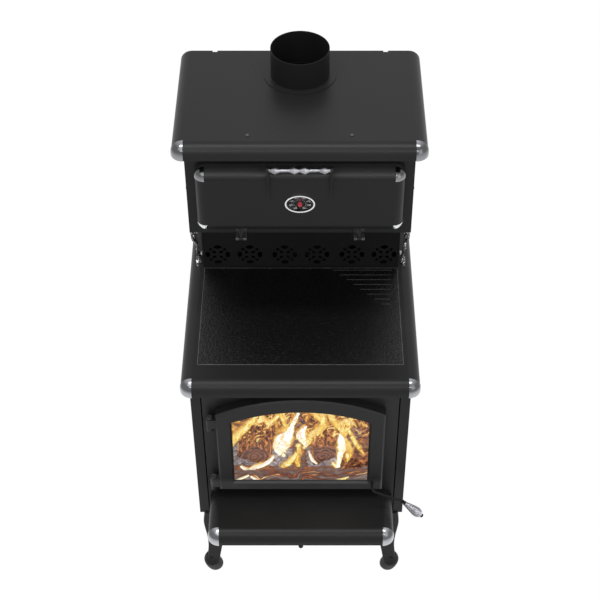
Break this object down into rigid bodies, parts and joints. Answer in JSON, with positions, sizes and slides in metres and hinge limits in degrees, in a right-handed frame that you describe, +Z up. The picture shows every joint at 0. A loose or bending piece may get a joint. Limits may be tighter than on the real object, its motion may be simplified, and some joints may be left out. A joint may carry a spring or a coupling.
{
  "type": "wood cookstove",
  "caption": "Free-standing wood cookstove: glazed fire door, flat cook plate, pierced backsplash, upper oven with drop-down door, cabriole legs and a round flue collar.",
  "frame": {"origin": "on the floor, at the middle of the footprint, 15.7 mm to the right of the stove's own centre plane because the latch grip reaches out past the right side", "axes": "+Z up, -Y to the front (fire door side), +X to the right as seen from the front"},
  "size_m": [0.6842, 0.8044, 1.552],
  "materials": {
    "black_paint": "heat-resistant satin black paint",
    "cast_black": "blackened cast iron, satin",
    "nickel": "polished nickel plating",
    "steel": "plain steel",
    "glass": "clear ceramic glass",
    "brick": "light firebrick",
    "gasket": "woven glass rope",
    "wood": "split logs, charred",
    "dial": "black dial with pale marks",
    "red": "red enamel"
  },
  "bodies": {
    "stove": {"firebox": "black_paint", "face_plate": "cast_black", "side_panel_left": "black_paint", "side_panel_right": "black_paint", "rear_shield": "black_paint", "base_plate": "black_paint", "leg_front_left": "cast_black", "leg_front_right": "cast_black", "leg_rear_left": "cast_black", "leg_rear_right": "cast_black", "leg_bolts": "steel", "hearth_shelf": "black_paint", "shelf_corner_caps": "nickel", "cooktop_surround": "black_paint", "cooktop_corner_caps": "nickel", "cook_plate": "cast_black", "floor_bricks": "brick", "side_bricks": "brick", "rear_bricks": "brick", "baffle": "cast_black", "air_tubes": "steel", "firewood": "wood", "door_hinge_brackets": "cast_black", "door_hinge_pins": "steel", "air_intake_box": "steel", "back_panel": "black_paint", "flue_rear_cover": "steel", "flue_duct": "black_paint", "flue_collar": "black_paint", "flue_ring": "black_paint", "scroll_brackets": "nickel", "cabinet_shell": "black_paint", "cabinet_cover": "black_paint", "cover_corner_caps": "nickel", "cabinet_screws": "black_paint", "oven_box": "steel", "oven_rack": "steel", "oven_hinge_brackets": "black_paint", "oven_hinge_pins": "steel"},
    "fire_door": {"door_frame": "cast_black", "door_glass": "glass", "glass_retainers": "steel", "retainer_screws": "steel", "door_gasket": "gasket"},
    "door_latch": {"latch_rod": "black_paint", "latch_cam": "steel", "latch_grip": "nickel"},
    "air_slider": {"air_slide_plate": "steel", "air_rod": "black_paint"},
    "oven_door": {"oven_door_skin": "black_paint", "oven_door_liner": "steel", "oven_door_corner_caps": "nickel", "oven_door_straps": "black_paint", "oven_handle_bar": "nickel", "oven_handle_arms": "black_paint", "gauge_bezel": "nickel", "gauge_dial": "dial", "gauge_glass": "glass"},
    "gauge_needle_body": {"gauge_needle": "red"}
  },
  "joints": [
    {"name": "fire_door_hinge", "type": "hinge", "parent": "stove", "child": "fire_door", "pos_m": [-0.2677, -0.2495, 0.56], "axis": [0, 0, -1], "range_deg": [0, 110]},
    {"name": "latch_turn", "type": "hinge", "parent": "fire_door", "child": "door_latch", "pos_m": [0.1893, -0.2495, 0.44], "axis": [0, -1, 0], "range_deg": [-15, 75]},
    {"name": "air_slide", "type": "slide", "parent": "stove", "child": "air_slider", "axis": [0, -1, 0], "range_m": [0, 0.04]},
    {"name": "oven_door_hinge", "type": "hinge", "parent": "stove", "child": "oven_door", "pos_m": [-0.0157, 0.0085, 1.139], "axis": [1, 0, 0], "range_deg": [0, 90]},
    {"name": "needle_turn", "type": "hinge", "parent": "oven_door", "child": "gauge_needle_body", "pos_m": [-0.0157, -0.009, 1.2787], "axis": [0, -1, 0], "range_deg": [-120, 120]}
  ]
}
